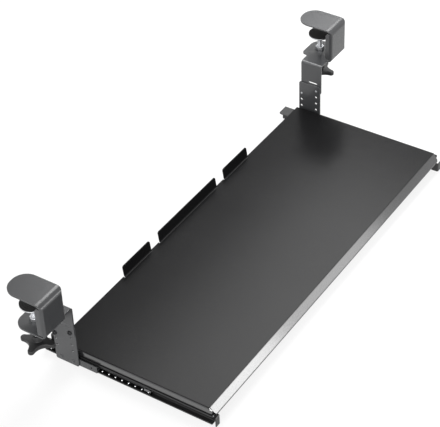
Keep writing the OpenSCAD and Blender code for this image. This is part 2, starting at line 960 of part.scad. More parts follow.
tray();
left_tray_rail();
right_tray_rail();
left_channel();
right_channel();
channel_rivets();
rail_studs();
rail_nuts();
slide_stops();
left_ball_cage();
right_ball_cage();
left_balls();
right_balls();
left_runner();
right_runner();
runner_rivets();
left_bracket();
right_bracket();
bracket_screws();
left_clamp();
right_clamp();
left_top_pad();
right_top_pad();
left_jaw_nut();
right_jaw_nut();
left_clamp_screw();
right_clamp_screw();
left_knob();
right_knob();
left_pressure_plate();
right_pressure_plate();
left_pressure_pad();
right_pressure_pad();
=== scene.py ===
"""Finishes, small hardware and studio for the keyboard tray, built round its packed CAD model."""

import math
from types import SimpleNamespace

import bpy
import numpy as np
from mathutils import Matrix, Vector


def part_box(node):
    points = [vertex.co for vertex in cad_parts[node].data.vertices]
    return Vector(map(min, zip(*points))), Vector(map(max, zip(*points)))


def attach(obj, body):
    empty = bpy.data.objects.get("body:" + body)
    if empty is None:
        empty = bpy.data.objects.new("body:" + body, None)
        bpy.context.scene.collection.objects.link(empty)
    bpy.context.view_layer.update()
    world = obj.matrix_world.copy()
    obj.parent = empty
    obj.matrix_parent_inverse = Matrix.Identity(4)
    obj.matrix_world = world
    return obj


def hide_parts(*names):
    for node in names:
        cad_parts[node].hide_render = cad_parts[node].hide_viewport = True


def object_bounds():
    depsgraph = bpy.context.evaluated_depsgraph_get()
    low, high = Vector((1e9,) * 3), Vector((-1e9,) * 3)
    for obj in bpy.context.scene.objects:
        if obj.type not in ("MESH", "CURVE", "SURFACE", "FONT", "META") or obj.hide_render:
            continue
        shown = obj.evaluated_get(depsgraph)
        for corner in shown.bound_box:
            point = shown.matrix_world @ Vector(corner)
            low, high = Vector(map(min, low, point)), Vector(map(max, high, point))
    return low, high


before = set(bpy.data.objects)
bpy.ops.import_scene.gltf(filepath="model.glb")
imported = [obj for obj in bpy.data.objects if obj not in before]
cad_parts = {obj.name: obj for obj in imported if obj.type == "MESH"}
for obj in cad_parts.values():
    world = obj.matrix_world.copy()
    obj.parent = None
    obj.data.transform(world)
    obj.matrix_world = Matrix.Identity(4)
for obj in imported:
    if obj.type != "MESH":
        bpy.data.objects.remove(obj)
cad_low, cad_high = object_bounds()

bl_info = {
    "name": "Keyboard tray looks",
    "version": (1, 0, 0),
    "blender": (4, 5, 0),
    "location": "3D View > Sidebar > Tray",
    "description": "Coats the tray's sheet parts, makes its small hardware and sets the studio",
    "category": "Object",
}

MM = 0.001
SIDES = ("left", "right")


# Shader maths

class Value:
    """A node's output socket. Arithmetic on it adds Math nodes to its tree."""

    def __init__(self, nodes, socket):
        self.nodes = nodes
        self.socket = socket

    def math(self, operation, first, second):
        return self.nodes.node("ShaderNodeMath", {"operation": operation}, {0: first, 1: second})

    def __add__(self, other):
        return self.math("ADD", self, other)

    def __radd__(self, other):
        return self.math("ADD", other, self)

    def __sub__(self, other):
        return self.math("SUBTRACT", self, other)

    def __rsub__(self, other):
        return self.math("SUBTRACT", other, self)

    def __mul__(self, other):
        return self.math("MULTIPLY", self, other)

    def __rmul__(self, other):
        return self.math("MULTIPLY", other, self)

    def or_more(self, other):
        return self.math("MAXIMUM", self, other)

    def clipped(self):
        return self.nodes.node("ShaderNodeClamp", {}, {0: self})


class Nodes:
    """A node tree, and the one method that adds nodes to it."""

    def __init__(self, tree):
        self.tree = tree

    def node(self, kind, settings, sockets, out=0):
        """Adds a node, sets its settings, fills its sockets with values or links, and gives an output."""
        made = self.tree.nodes.new(kind)
        for key, value in settings.items():
            setattr(made, key, value)
        for key, value in sockets.items():
            self.fill(made.inputs[key], value)
        return Value(self, made.outputs[out])

    def fill(self, socket, value):
        """Links a value to a socket, or sets a number or colour on it."""
        if isinstance(value, Value):
            self.tree.links.new(value.socket, socket)
        else:
            socket.default_value = value


class Coat(Nodes):
    """A material with a Principled surface."""

    def __init__(self, name, **constants):
        self.material = bpy.data.materials.new(name)
        self.material.use_nodes = True
        super().__init__(self.material.node_tree)
        self.surface = self.tree.nodes["Principled BSDF"]
        for key, value in constants.items():
            self.surface.inputs[key.replace("_", " ")].default_value = value

    def vary(self, **sockets):
        """Links what changes over the surface to the Principled node."""
        for key, value in sockets.items():
            self.fill(self.surface.inputs[key.replace("_", " ")], value)
        return self.material

    def place(self, axis=None):
        """The point in the object's own frame, or its coordinate along an axis."""
        point = self.node("ShaderNodeTexCoord", {}, {}, out="Object")
        return self.node("ShaderNodeSeparateXYZ", {}, {0: point}, out=axis) if axis else point

    def noise(self, scale, detail, roughness=0.5):
        """Noise from 0 to 1, with that many cells to the metre."""
        return self.node("ShaderNodeTexNoise", {}, {
            "Vector": self.place(), "Scale": scale, "Detail": detail, "Roughness": roughness})

    def mix(self, first, second, share):
        """A colour that goes from the first to the second by a share."""
        return self.node("ShaderNodeMix", {"data_type": "RGBA"}, {0: share, 6: first, 7: second}, out=2)

    def past(self, axis, half, centre=0.0):
        """How far a point lies outside a slab of that half width across an axis, in metres."""
        off = self.place(axis) - centre
        return off.or_more(-1.0 * off) - half

    def rounded_normal(self, radius):
        """The normal as if each sharp edge had that radius."""
        return self.node("ShaderNodeBevel", {"samples": 6}, {"Radius": radius})

    def edges(self, rounded, gain):
        """1 on sharp edges and 0 on flats: how far the rounded normal leans from the true one."""
        true = self.node("ShaderNodeNewGeometry", {}, {}, out="Normal")
        lean = self.node(
            "ShaderNodeVectorMath", {"operation": "DOT_PRODUCT"}, {0: rounded, 1: true}, out="Value")
        return ((1.0 - lean) * gain).clipped()

    def bump(self, height, distance, strength, normal):
        """A normal tilted by the slope of a height, which spans that distance."""
        return self.node("ShaderNodeBump", {}, {
            "Strength": strength, "Distance": distance, "Height": height, "Normal": normal})


def rgba(colour, gain=1.0):
    """A colour with its channels times a gain, and full alpha."""
    return [min(1.0, channel * gain) for channel in colour] + [1.0]


def powder_coat(name, colour, roughness, grain, edge_radius, specular, handled=None):
    """Fine-grained powder coat: pebbled bump, cloudy tone, thinner and smoother along its edges.
    Outside the half width and in front of the y given by the last argument, use has rubbed the tops of its
    pebbles to a shine as a glossier coat, and their colour is lightened as a painted highlight."""
    hollow, top, thin, painted_highlight = 0.68, 1.36, 2.3, 4.0  # gains on the colour, the last one a painted highlight
    coat = Coat(name, Specular_IOR_Level=specular, Coat_Roughness=0.2, Coat_IOR=2.2)
    rounded = coat.rounded_normal(edge_radius)
    edge = coat.edges(rounded, gain=5.0)
    pebble = coat.noise(0.9 / grain, detail=3.0, roughness=0.6)
    speck = coat.noise(2.6 / grain, detail=1.0)
    cloud = coat.noise(7.0, detail=3.0)
    tone = (0.35 * cloud + 0.4 * pebble + 0.25 * speck).clipped()
    shade = coat.mix(rgba(colour, hollow), rgba(colour, top), tone)
    worn = (edge * (0.35 + 0.5 * pebble)).clipped()
    lit = coat.mix(shade, rgba(colour, thin), worn)
    gloss = roughness - 0.12 + 0.16 * pebble + 0.08 * cloud - 0.1 * edge
    normal = coat.bump(0.7 * pebble + 0.3 * speck, distance=grain * 0.25, strength=0.35, normal=rounded)
    if handled:
        half_width, front = handled
        fade = 700.0  # per metre
        rubbed = (coat.past("X", half_width).or_more(front - coat.place("Y")) * fade).clipped()
        coat.vary(Coat_Weight=(rubbed * (0.3 + 0.7 * pebble + 0.3 * speck)).clipped())
        # Painted highlight: the rims' colour is lightened to stand for the lamps catching the front edge and
        # the side flanges
        lit = coat.mix(lit, rgba(colour, painted_highlight), rubbed * (0.3 + 0.6 * speck))
    return coat.vary(Base_Color=lit, Roughness=gloss, Normal=normal)


def plated_steel(name, colour, roughness, edge_radius, cut=None, greased=None):
    """Plated steel: faint clouded plating, tiny handling marks, brighter edges. Nearer the middle than the
    half width given by cut, its ends are cut bare, in cut's colour. Further from the height than the half
    width, both given by the last argument, the steel takes that argument's darker colour."""
    dull, bright, rubbed = 0.72, 1.12, 1.3  # gains on the colour
    fade = 9000.0  # per metre
    coat = Coat(name, Metallic=1.0)
    rounded = coat.rounded_normal(edge_radius)
    edge = coat.edges(rounded, gain=4.0)
    cloud = coat.noise(160.0, detail=4.0, roughness=0.6)
    marks = coat.noise(2400.0, detail=2.0)
    shade = coat.mix(rgba(colour, dull), rgba(colour, bright), cloud)
    lit = coat.mix(shade, rgba(colour, rubbed), edge * 0.6)
    gloss = roughness - 0.15 + 0.22 * cloud + 0.08 * marks
    normal = coat.bump(marks, distance=0.00004, strength=0.3, normal=rounded)
    if cut:
        half_width, bare = cut
        lit = coat.mix(lit, rgba(bare), (coat.past("X", half_width) * -fade).clipped())
    if greased:
        # The steel is darkened outside a band round this height
        height, half_width, film = greased
        lit = coat.mix(lit, rgba(film), (coat.past("Z", half_width, height) * fade).clipped())
    return coat.vary(Base_Color=lit, Roughness=gloss, Normal=normal)


def polished_steel(name, colour, roughness):
    """Ground bearing steel: bright, with an oily film that dulls patches of it."""
    dull, bright = 0.86, 1.08  # gains on the colour
    coat = Coat(name, Metallic=1.0)
    film = coat.noise(420.0, detail=3.0)
    shade = coat.mix(rgba(colour, dull), rgba(colour, bright), film)
    return coat.vary(Base_Color=shade, Roughness=roughness - 0.05 + 0.14 * film)


def moulded_plastic(name, colour, roughness, grain, edge_radius):
    """Spark-eroded moulded plastic: matt grain, rubbed smoother and lighter on its edges."""
    pit, skin, rubbed = 0.7, 1.4, 2.0  # gains on the colour
    coat = Coat(name, Specular_IOR_Level=0.45)
    rounded = coat.rounded_normal(edge_radius)
    edge = coat.edges(rounded, gain=4.0)
    grit = coat.noise(1.0 / grain, detail=2.0, roughness=0.65)
    cloud = coat.noise(60.0, detail=2.0)
    shade = coat.mix(rgba(colour, pit), rgba(colour, skin), 0.5 * grit + 0.5 * cloud)
    lit = coat.mix(shade, rgba(colour, rubbed), edge * 0.5)
    gloss = roughness - 0.07 + 0.14 * grit - 0.1 * edge
    normal = coat.bump(grit, distance=grain * 0.2, strength=0.4, normal=rounded)
    return coat.vary(Base_Color=lit, Roughness=gloss, Normal=normal)


def sheet_rubber(name, colour, grain, edge_radius):
    """Matt sheet rubber: a dusty, finely pitted skin."""
    pit, dusty = 0.6, 1.7  # gains on the colour
    coat = Coat(name, Specular_IOR_Level=0.25)
    rounded = coat.rounded_normal(edge_radius)
    pits = coat.noise(1.0 / grain, detail=4.0, roughness=0.7)
    dust = coat.noise(90.0, detail=3.0)
    shade = coat.mix(rgba(colour, pit), rgba(colour, dusty), 0.6 * dust + 0.4 * pits)
    normal = coat.bump(pits, distance=grain * 0.4, strength=0.5, normal=rounded)
    return coat.vary(Base_Color=shade, Roughness=0.72 + 0.22 * pits, Normal=normal)


# Surfaces

def ring_quads(rows, columns):
    """Quads between neighbouring rings of a grid: point (i, j) joins (i, j+1), (i+1, j+1), (i+1, j)."""
    i = np.arange(rows - 1)[:, None] * columns
    j = np.arange(columns)[None, :]
    after = (j + 1) % columns
    quads = np.stack([i + j, i + after, i + columns + after, i + columns + j], axis=-1)
    return quads.reshape(-1, 4)


def capped(rings):
    """Closed skin over rings of points, bottom ring first, with a pole in the middle of each end ring."""
    rows, columns = rings.shape[:2]
    count = rows * columns
    points = np.vstack([rings.reshape(-1, 3), rings[:1].mean(axis=1), rings[-1:].mean(axis=1)])
    j = np.arange(columns)
    after = (j + 1) % columns
    last = count - columns
    low = np.stack([np.full(columns, count), after, j], axis=-1)
    high = np.stack([np.full(columns, count + 1), last + j, last + after], axis=-1)
    return points, ring_quads(rows, columns), np.vstack([low, high])


def looped(rings):
    """Closed skin over rings whose last ring joins the first, as on a ring or a nut."""
    rows, columns = rings.shape[:2]
    quads = ring_quads(rows + 1, columns) % (rows * columns)
    return rings.reshape(-1, 3), quads, np.zeros((0, 3), int)


def angles(columns):
    """Even steps round a full turn."""
    return np.linspace(0.0, 2 * np.pi, columns, endpoint=False)


def turned(radii, heights, columns):
    """Rings of a turned shape: (r cos a, r sin a, h) for each (r, h) of its profile."""
    a = angles(columns)[None, :]
    r = np.asarray(radii, float)[:, None]
    h = np.asarray(heights, float)[:, None]
    return np.stack([r * np.cos(a), r * np.sin(a), h + 0 * a], axis=-1)


def round_over(radius, height, edge, start, steps=5):
    """Profile points of an edge's quarter round, about (radius - edge, height), from an angle on
    by 90 degrees."""
    a = np.radians(np.linspace(start, start + 90.0, steps))
    return np.stack([radius - edge + edge * np.cos(a), height + edge * np.sin(a)], axis=-1)


def lathe(profile, columns):
    """Rings of a turned shape whose profile is a list of (radius, height)."""
    profile = np.asarray(profile, float)
    return turned(profile[:, 0], profile[:, 1], columns)


def moved(part, at):
    """The part shifted by a vector."""
    points, quads, tris = part
    return points + np.asarray(at, float), quads, tris


def laid_along_x(part):
    """Turns a part's own axis from +Z to +X: (x, y, z) goes to (z, x, y)."""
    points, quads, tris = part
    return points[:, [2, 0, 1]], quads, tris


def mirrored(part):
    """The part's mirror image across the middle, with its faces turned round to point outwards."""
    points, quads, tris = part
    return points * [-1.0, 1.0, 1.0], quads[:, ::-1], tris[:, ::-1]


def both_sides(parts):
    """Right-hand parts and their mirror images."""
    return parts + [mirrored(part) for part in parts]


def piece(name, parts, body, material, nodes, sharp=38.0):
    """Joins parts into one mesh, in millimetres, and hangs it on its body in place of its CAD nodes."""
    sizes = np.cumsum([0] + [len(points) for points, _, _ in parts])
    points = np.vstack([points for points, _, _ in parts]) * MM
    quads = np.vstack([quads + at for (_, quads, _), at in zip(parts, sizes)])
    tris = np.vstack([tris + at for (_, _, tris), at in zip(parts, sizes)])
    mesh = bpy.data.meshes.new(name)
    mesh.from_pydata(points.tolist(), [], quads.tolist() + tris.tolist())
    mesh.update()
    mesh.shade_smooth()
    mesh.set_sharp_from_angle(angle=math.radians(sharp))
    mesh.materials.append(material)
    made = bpy.data.objects.new(name, mesh)
    bpy.context.scene.collection.objects.link(made)
    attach(made, body)
    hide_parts(*nodes)
    return made


def dress(material, *nodes):
    """Gives CAD nodes a finish."""
    for node in nodes:
        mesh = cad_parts[node].data
        mesh.materials.clear()
        mesh.materials.append(material)


def box_mm(node):
    """Lowest and highest corner of a CAD node's box, in millimetres."""
    return [np.array(corner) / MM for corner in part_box(node)]


def middle(node):
    """The middle of a CAD node's box, in millimetres."""
    low, high = box_mm(node)
    return (low + high) / 2


def span(node):
    """Lowest and highest z of a CAD node, in millimetres."""
    low, high = box_mm(node)
    return low[2], high[2]


def threaded(radius, depth, pitch, low, high, chamfer, columns):
    """Threaded rod: the radius falls from crest to root and back as a clipped wave of
    z / pitch - angle / turn, and both ends are chamfered."""
    rings_a_turn, steep, crest = 10, 2.6, 0.2
    heights = np.linspace(low, high, int((high - low) / pitch * rings_a_turn) + 1)[:, None]
    a = angles(columns)[None, :]
    phase = (heights / pitch - a / (2 * np.pi)) % 1.0
    wave = np.clip(np.abs(phase - 0.5) * steep - crest, 0.0, 1.0)
    to_end = np.minimum(heights - low, high - heights)
    r = np.minimum(radius - depth * wave, radius - chamfer + to_end)
    return np.stack([r * np.cos(a), r * np.sin(a), heights + 0 * a], axis=-1)


def hex_nut(flats, bore, low, high, columns=72, rows=13):
    """Hexagon nut: the outline is flats / 2 over the cosine from each flat's middle,
    cut back at both faces by a 30 degree chamfer cone."""
    a = angles(columns)
    hexagon = flats / 2 / np.cos(a % (np.pi / 3) - np.pi / 6)
    cone = math.tan(math.radians(60.0))
    face_r, sink = 0.475 * flats, 0.12 * bore
    heights = np.linspace(low, high, rows)
    to_face = np.minimum(heights - low, high - heights)
    outside = np.minimum(hexagon[None, :], face_r + to_face[:, None] * cone)
    radii = np.vstack([
        np.full((1, columns), bore),
        np.full((1, columns), bore + sink),
        outside,
        np.full((1, columns), bore + sink),
        np.full((1, columns), bore),
    ])
    levels = np.concatenate([[low + sink, low], heights, [high, high - sink]])[:, None]
    rings = np.stack([radii * np.cos(a), radii * np.sin(a), levels + 0 * a[None, :]], axis=-1)
    return looped(rings)


def pan_screw(shank_r, shank_len, head_r, head_h, recess):
    """Pan-head screw up its axis: a turned shank and head, whose domed top sinks in a cross
    where a point is within the slot's half width of either arm and inside the arm's length."""
    columns, rows, chamfer, edge = 96, 26, 0.4, 0.2
    rim = 0.45 * head_h
    slot_half, slot_edge = 0.13 * head_r, 0.05 * head_r
    arm_len, arm_edge = 0.55 * head_r, 0.1 * head_r
    rings = lathe([
        [shank_r - chamfer, 0.0], [shank_r, chamfer], [shank_r, shank_len], [head_r - edge, shank_len],
        [head_r, shank_len + edge], [head_r, shank_len + rim],
    ], columns)
    rim_r, pole_r = 0.985 * head_r, 0.06 * head_r
    r = np.linspace(rim_r, pole_r, rows)[:, None]
    a = angles(columns)[None, :]
    x, y = r * np.cos(a), r * np.sin(a)
    dome = shank_len + rim + (head_h - rim) * (1 - (r / head_r) ** 2) ** 0.5
    arm = np.minimum(np.abs(x), np.abs(y))
    reach = np.maximum(np.abs(x), np.abs(y))
    inside = np.clip((slot_half - arm) / slot_edge + 0.5, 0, 1)
    inside = inside * np.clip((arm_len - reach) / arm_edge + 0.5, 0, 1)
    taper = 1 - 0.5 * reach / (0.6 * head_r)
    top = np.stack([x, y, dome - recess * inside * np.clip(taper, 0, 1)], axis=-1)
    return capped(np.concatenate([rings, top]))


def rivet(shank_r, low, high, low_head, high_head):
    """Rivet up its axis: a shank between two domed heads, each given as (radius, height)."""
    columns, steps, steepest = 28, 7, 84.0
    r0, h0 = low_head
    r1, h1 = high_head
    a = np.radians(np.linspace(steepest, 0.0, steps))
    under = np.stack([r0 * np.cos(a), low - h0 * np.sin(a)], axis=-1)
    over = np.stack([r1 * np.cos(a[::-1]), high + h1 * np.sin(a[::-1])], axis=-1)
    profile = np.vstack([under, [[shank_r, low], [shank_r, high]], over])
    return capped(lathe(profile, columns))


def ball(radius, columns=18, rows=11):
    """Ball: rings at latitudes between the poles, (cos b cos a, cos b sin a, sin b) times the radius."""
    b = np.linspace(-0.5 * np.pi, 0.5 * np.pi, rows + 2)[1:-1]
    return capped(turned(radius * np.cos(b), radius * np.sin(b), columns))


def knob_rim(lobe_at, lobe_r, waist_r, columns):
    """Outline of a four-lobed knob, its points evenly spaced: tip circles of radius lobe_r at lobe_at,
    joined by hollow flanks, each an arc round a point outside the knob that touches two tips and comes
    in to waist_r. Gives points and normals."""
    half, fine_steps = np.pi / 4, 6001
    a = np.linspace(0.0, 2 * np.pi, fine_steps)
    fold = np.abs((a + half) % (2 * half) - half)
    hollow = waist_r - lobe_r
    flank_at = (lobe_at ** 2 - hollow ** 2) / 2 / (lobe_at * math.cos(half) - hollow)
    away = np.array([flank_at * math.cos(half) - lobe_at, flank_at * math.sin(half)])
    touch = lobe_r * away / np.hypot(*away)
    off = fold - half
    tip = lobe_at * np.cos(fold) + np.sqrt(np.maximum(lobe_r ** 2 - (lobe_at * np.sin(fold)) ** 2, 0))
    chord = np.sqrt(np.maximum((flank_at - waist_r) ** 2 - (flank_at * np.sin(off)) ** 2, 0))
    r = np.where(fold < math.atan2(touch[1], lobe_at + touch[0]), tip, flank_at * np.cos(off) - chord)
    fine = np.stack([r * np.cos(a), r * np.sin(a)], axis=-1)
    gone = np.concatenate([[0.0], np.cumsum(np.linalg.norm(np.diff(fine, axis=0), axis=1))])
    stops = np.linspace(0.0, gone[-1], columns, endpoint=False)
    points = np.stack([np.interp(stops, gone, fine[:, axis]) for axis in (0, 1)], axis=-1)
    along = np.roll(points, -1, axis=0) - np.roll(points, 1, axis=0)
    along /= np.linalg.norm(along, axis=1)[:, None]
    return points, np.stack([along[:, 1], -along[:, 0]], axis=-1)


def lobed_knob(sizes, bore, bore_end, turn):
    """Knob up its axis, base at 0: rings that are the rim drawn in by an inset, plain circles, or a share
    of the way from one to the other, from a hollow underside round the rim, over the crown to the hub,
    and down the bore. The crown falls towards the tips as a power of the distance from the hub."""
    rim, out = knob_rim(sizes.knob_r - sizes.lobe_r, sizes.lobe_r, sizes.knob_waist, columns=240)
    around = rim / np.linalg.norm(rim, axis=1)[:, None]
    tall, hub_top = sizes.knob_h, sizes.knob_h + sizes.hub_h
    soft, hub = sizes.knob_edge, sizes.hub_d / 2
    well, draft, foot, curve = sizes.knob_well, 0.12, hub + 2.2, 1.3

    def circle(radius, height):
        return radius * around, height

    def drawn_in(inset, height, share=0.0):
        return (1 - share) * (rim - inset * out) + share * foot * around, height

    quarter = np.radians(np.linspace(0.0, 90.0, 6))
    rows = [
        # The hub's foot, the hollow under the lobes and the rim's inner wall
        circle(hub - 3.0, 0.8), circle(hub - 0.6, 0.6), circle(hub, 1.0),
        circle(hub + 0.3, well - 0.8), circle(hub + 1.1, well),
        drawn_in(soft + 1.9, well), drawn_in(soft + 1.3, well - 0.7),
        drawn_in(soft + 1.1, 0.5), drawn_in(soft + 0.7, 0.0),
        # The rim, rounded below and above
        *(drawn_in(draft + soft * (1 - math.sin(t)), soft * (1 - math.cos(t))) for t in quarter),
        drawn_in(0.0, 0.5 * tall),
        *(drawn_in(draft + soft * (1 - math.cos(t)), tall - soft * (1 - math.sin(t))) for t in quarter),
        # The crown, the hub and its bore
        *(drawn_in(draft + soft, tall, share) for share in np.linspace(0.1, 1.0, 10)),
        circle(hub + 0.7, tall + 0.4), circle(hub + 0.1, tall + 1.6),
        circle(hub - 0.1, hub_top - 0.9), circle(hub - 0.4, hub_top - 0.25),
        circle(hub - 1.0, hub_top), circle(bore + 0.6, hub_top),
        circle(bore, hub_top - 0.6), circle(bore, bore_end),
    ]
    flat = np.stack([ring for ring, _ in rows])
    fall = np.clip((np.linalg.norm(flat, axis=-1) - foot) / (sizes.knob_r - foot), 0.0, 1.0)
    level = np.array([height for _, height in rows])[:, None]
    level = level - sizes.knob_slope * fall ** curve * np.clip(level / tall, 0.0, 1.0)
    c, s = math.cos(math.radians(turn)), math.sin(math.radians(turn))
    x = c * flat[..., 0] - s * flat[..., 1]
    y = s * flat[..., 0] + c * flat[..., 1]
    return capped(np.stack([x, y, level + 0 * x], axis=-1))


def ribbed_pad(outline, thick, ribs, depth, edge):
    """Pad on a plan outline round its own middle: the outline shrinks towards the middle as rings,
    and its lower face is grooved by a raised cosine of the shrink, one groove a rib."""
    outer, inner, plain, rings_a_rib = 0.985, 0.04, 0.08, 12
    share = np.linspace(outer, inner, rings_a_rib * ribs)
    groove = depth * (0.5 - 0.5 * np.cos(2 * np.pi * ribs * (1 - share))) * (share > plain)
    wide = np.linalg.norm(outline, axis=1).max()
    inset = edge / wide
    shrink = np.concatenate([share[::-1], [1 - 0.3 * inset, 1.0, 1.0, 1 - inset, 0.5]])
    level = np.concatenate([groove[::-1], [0.3 * edge, edge, thick - edge, thick, thick]])
    flat = shrink[:, None, None] * outline[None]
    up = np.broadcast_to(level[:, None, None], flat.shape[:2] + (1,))
    return capped(np.concatenate([flat, up], axis=-1))


def d_outline(wide, deep, corner, small, steps=24):
    """Plan of a pad with two large round corners at the rear: four corner arcs, anticlockwise from the
    front left."""
    arcs = []
    for x, y, r, start in (
        (-wide / 2, 0.0, small, 180.0), (wide / 2, 0.0, small, 270.0),
        (wide / 2, deep, corner, 0.0), (-wide / 2, deep, corner, 90.0),
    ):
        a = np.radians(np.linspace(start, start + 90.0, steps))
        centre = (x - math.copysign(r, x), r if y == 0.0 else deep - r)
        arcs.append(np.stack([centre[0] + r * np.cos(a), centre[1] + r * np.sin(a)], axis=-1))
    return np.vstack(arcs)


# Sizes and colours

def size(label, text, millimetres):
    """A length in the panel, its default given in millimetres."""
    return bpy.props.FloatProperty(
        name=label, description=text, default=millimetres * MM, min=0.0, precision=5,
        unit="LENGTH", subtype="DISTANCE")


def amount(label, text, default, unit="NONE"):
    """A number in the panel."""
    return bpy.props.FloatProperty(name=label, description=text, default=default, min=0.0, unit=unit)


def tint(label, text, default):
    """A colour in the panel."""
    return bpy.props.FloatVectorProperty(
        name=label, description=text, default=default, size=3, min=0.0, max=1.0, subtype="COLOR")


class TrayFinishes(bpy.types.PropertyGroup):
    """Colours of the finishes"""
    tray: tint("Tray", "Powder coat of the tray", (0.0060, 0.0060, 0.0063))
    clamp: tint("Clamps", "Powder coat of the clamps, brackets and runners", (0.044, 0.045, 0.047))
    slide: tint("Slides", "Coat of the rails and channels", (0.014, 0.014, 0.0145))
    zinc: tint("Zinc", "Plating of nuts, rivets, pressure plates and clamp screws", (0.58, 0.59, 0.61))
    cage: tint("Cages", "Steel strip of the ball cages", (0.22, 0.22, 0.225))
    # Darker colour given to the cages' ears, above and below the band of balls
    grease: tint("Ear_colour", "Darker on the cages' ears, round the balls", (0.012, 0.012, 0.012))
    ball: tint("Balls", "Bearing steel", (0.80, 0.81, 0.83))
    screw: tint("Screws", "Black oxide on the bracket screws", (0.045, 0.045, 0.047))
    plastic: tint("Plastic", "Moulded knobs and slide stops", (0.010, 0.010, 0.0105))
    rubber: tint("Rubber", "Pads of the top plates and the pressure feet", (0.020, 0.020, 0.020))
    grain: size("Grain", "Size of the powder coat's pebbles", 0.7)


class TrayHardware(bpy.types.PropertyGroup):
    """Sizes of the small hardware"""
    thread_pitch: size("Thread pitch", "Pitch of the clamp screws", 1.25)
    thread_depth: size("Thread depth", "Depth of the clamp screws' thread", 0.7)
    stud_pitch: size("Stud pitch", "Pitch of the rail studs", 0.7)
    knob_r: size("Knob radius", "From the knob's middle to a lobe's tip", 27.0)
    lobe_r: size("Lobe radius", "Radius of a lobe's tip", 5.0)
    knob_waist: size("Knob waist", "From the knob's middle to the hollow between two lobes", 14.5)
    knob_h: size("Knob height", "Height of the lobes", 8.0)
    knob_edge: size("Knob edge", "Rounding of the knob's edges", 1.5)
    knob_well: size("Knob well", "Depth of the hollow under the knob", 4.0)
    knob_slope: size("Knob slope", "Fall of the lobes' crown from the hub to the tips", 1.6)
    hub_d: size("Hub", "Diameter of the knob's hub", 15.0)
    hub_h: size("Hub height", "Height of the hub over the lobes", 8.5)
    pad_groove: size("Pad groove", "Depth of the grooves in the pads", 0.4)
    recess: size("Recess", "Depth of the cross recess in a screw's head", 1.3)


class TrayStudio(bpy.types.PropertyGroup):
    """Light and camera"""
    floor: tint("Floor", "Colour of the floor", (0.90, 0.90, 0.90))
    floor_white: amount("Floor white", "Share of plain white in what the camera sees of the floor", 0.80)
    world: amount("World", "Strength of the white surroundings", 0.36)
    backdrop: amount("Backdrop", "White of the surroundings behind the floor, 1 for pure white", 0.94)
    key: amount("Key", "Front left softbox", 21.0, "POWER")
    side: amount("Side", "Softbox off the left end", 6.0, "POWER")
    strip: amount("Strip", "Low front light for the left half of the front edge", 1.05, "POWER")
    far_strip: amount("Far strip", "Low front light for the right half of the front edge", 0.43, "POWER")
    sheen: amount("Sheen", "Softbox over the tray, mirrored in its front half", 18.5, "POWER")
    back: amount("Back", "High rear softbox", 10.0, "POWER")
    lens: amount("Lens", "Focal length on a 36 mm sensor", 130.91, "CAMERA")


def in_mm(sizes):
    """The sizes of a property group, in millimetres."""
    return SimpleNamespace(**{key: getattr(sizes, key) / MM for key in sizes.__annotations__})


FINISH = {}


def finish(name, make, **settings):
    """Makes a finish once, and gives the same material to every piece that has it."""
    if name not in FINISH:
        FINISH[name] = make(name, **settings)
    return FINISH[name]


def clamp_coat():
    p = bpy.context.scene.tray_finishes
    return finish("clamp_coat", powder_coat, colour=tuple(p.clamp), roughness=0.23, grain=p.grain,
        edge_radius=0.0008, specular=0.50)


def slide_coat():
    p = bpy.context.scene.tray_finishes
    return finish("slide_coat", powder_coat, colour=tuple(p.slide), roughness=0.40, grain=p.grain,
        edge_radius=0.0005, specular=0.4)


def zinc():
    p = bpy.context.scene.tray_finishes
    return finish("zinc_plate", plated_steel, colour=tuple(p.zinc), roughness=0.36, edge_radius=0.0003)


def plastic():
    p = bpy.context.scene.tray_finishes
    return finish("black_plastic", moulded_plastic, colour=tuple(p.plastic), roughness=0.46, grain=0.0004,
        edge_radius=0.0006)


def rubber():
    p = bpy.context.scene.tray_finishes
    return finish("pad_rubber", sheet_rubber, colour=tuple(p.rubber), grain=0.0004, edge_radius=0.0003)


# Pieces

def either_side(*parts):
    """Names of the CAD nodes that stand on both sides."""
    return [f"{side}_{part}" for side in SIDES for part in parts]


class TRAY_OT_tray(bpy.types.Operator):
    """Coats the tray"""
    bl_idname = "keytray.tray"
    bl_label = "Tray"

    def execute(self, context):
        p = context.scene.tray_finishes
        rims = (0.3386, -0.2248)  # the side folds and the bevel's fold, in metres; outside them the coat is glossier and its colour painted lighter as a highlight
        coat = finish("tray_coat", powder_coat, colour=tuple(p.tray), roughness=0.25, grain=p.grain,
            edge_radius=0.0009, specular=0.09, handled=rims)
        dress(coat, "tray")
        return {"FINISHED"}


class TRAY_OT_clamps(bpy.types.Operator):
    """Coats the clamps, the brackets that hang from them and the runners"""
    bl_idname = "keytray.clamps"
    bl_label = "Clamps and brackets"

    def execute(self, context):
        dress(clamp_coat(), *either_side("clamp", "bracket", "runner"))
        return {"FINISHED"}


class TRAY_OT_slides(bpy.types.Operator):
    """Coats the rails and channels, and finishes the ball cages and stops"""
    bl_idname = "keytray.slides"
    bl_label = "Slides"

    def execute(self, context):
        dress(slide_coat(), *either_side("tray_rail", "channel"))
        p = context.scene.tray_finishes
        low, high = span("left_ball_cage")
        ear = 1.3
        # Outside the middle band, the cages' ears take the darker ear colour
        ears = ((low + high) / 2 * MM, ((high - low) / 2 - ear) * MM, tuple(p.grease))
        steel = finish("cage_steel", plated_steel, colour=tuple(p.cage), roughness=0.44, edge_radius=0.0003,
            greased=ears)
        dress(steel, *either_side("ball_cage"))
        dress(plastic(), "slide_stops")
        return {"FINISHED"}


